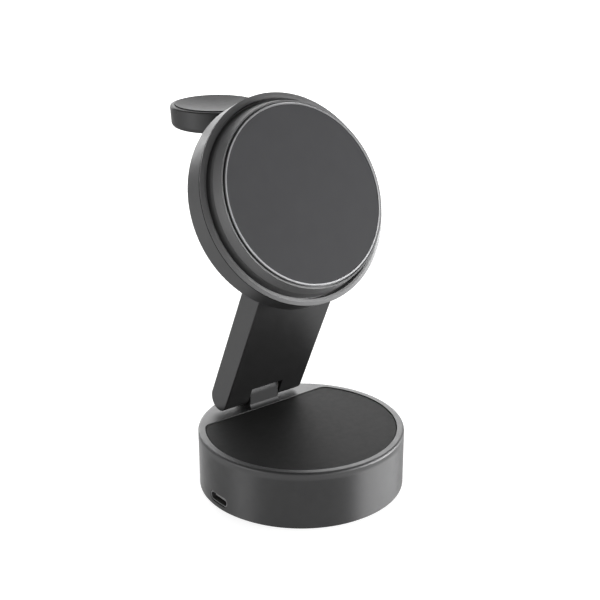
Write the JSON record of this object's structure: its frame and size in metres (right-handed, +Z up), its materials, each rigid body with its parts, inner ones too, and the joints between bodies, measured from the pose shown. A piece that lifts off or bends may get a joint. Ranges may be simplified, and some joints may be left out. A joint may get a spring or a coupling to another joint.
{
  "type": "three-in-one wireless charger",
  "caption": "Folding charging stand: a round weighted base with an earbud pad, a hinged flat arm, a tilting round phone pad and a swing-out watch puck.",
  "frame": {"origin": "on the table, under the middle of the round base", "axes": "+Z up, -Y the front that the pads face, +X the right-hand side seen from the front"},
  "size_m": [0.068, 0.0937, 0.1269],
  "materials": {
    "graphite_metal": "satin bead-blasted dark grey anodised",
    "soft_touch": "soft-touch matt dark grey",
    "trim_metal": "bright cut anodised edge",
    "glossy_dish": "smooth dark grey",
    "dark_plastic": "fine moulded texture",
    "rubber": "matt",
    "steel": "turned",
    "dark_screw": "black zinc",
    "bearing_plastic": "smooth natural nylon",
    "copper": "enamelled winding",
    "ferrite": "matt sintered sheet",
    "magnet": "nickel plated",
    "circuit_board": "solder mask",
    "flat_cable": "smooth film",
    "clear_light": "clear moulded"
  },
  "bodies": {
    "base": {"base_shell": "graphite_metal", "earbud_pad": "soft_touch", "earbud_coil": "copper", "earbud_ferrite": "ferrite", "base_weight": "steel", "bottom_cover": "dark_plastic", "rubber_foot": "rubber", "bottom_screws": "dark_screw", "base_circuit_board": "circuit_board", "usb_socket": "steel", "usb_tongue": "dark_plastic", "base_hinge_lug": "graphite_metal", "base_hinge_sleeve": "bearing_plastic", "base_hinge_clamp": "steel", "base_hinge_screws": "dark_screw"},
    "arm": {"arm_shell": "graphite_metal", "arm_cover": "graphite_metal", "arm_cable": "flat_cable", "lower_hinge_shaft": "steel", "upper_hinge_shaft": "steel", "lower_hinge_washers": "steel", "upper_hinge_washers": "steel", "shaft_plugs": "graphite_metal"},
    "head": {"head_rear_housing": "graphite_metal", "head_front_housing": "graphite_metal", "head_trim_ring": "trim_metal", "phone_pad": "soft_touch", "phone_coil": "copper", "phone_ferrite": "ferrite", "phone_magnets": "magnet", "magnet_shunt": "steel", "head_circuit_board": "circuit_board", "head_hinge_lug": "graphite_metal", "head_hinge_sleeve": "bearing_plastic", "head_hinge_clamp": "steel", "head_hinge_screws": "dark_screw", "watch_hinge_pin": "steel"},
    "puck": {"puck_housing": "graphite_metal", "puck_dish": "glossy_dish", "watch_coil": "copper", "watch_ferrite": "ferrite", "watch_magnet": "magnet", "watch_circuit_board": "circuit_board", "indicator_light": "clear_light"}
  },
  "joints": [
    {"name": "base_hinge", "type": "hinge", "parent": "base", "child": "arm", "pos_m": [0, 0.0243, 0.0253], "axis": [1, 0, 0], "range_deg": [0, 45]},
    {"name": "head_hinge", "type": "hinge", "parent": "arm", "child": "head", "pos_m": [0, 0.00435, 0.06929], "axis": [1, 0, 0], "range_deg": [-95, 45]},
    {"name": "puck_hinge", "type": "hinge", "parent": "head", "child": "puck", "pos_m": [0, 0.01908, 0.11718], "axis": [1, 0, 0], "range_deg": [-116.2, 0]}
  ]
}
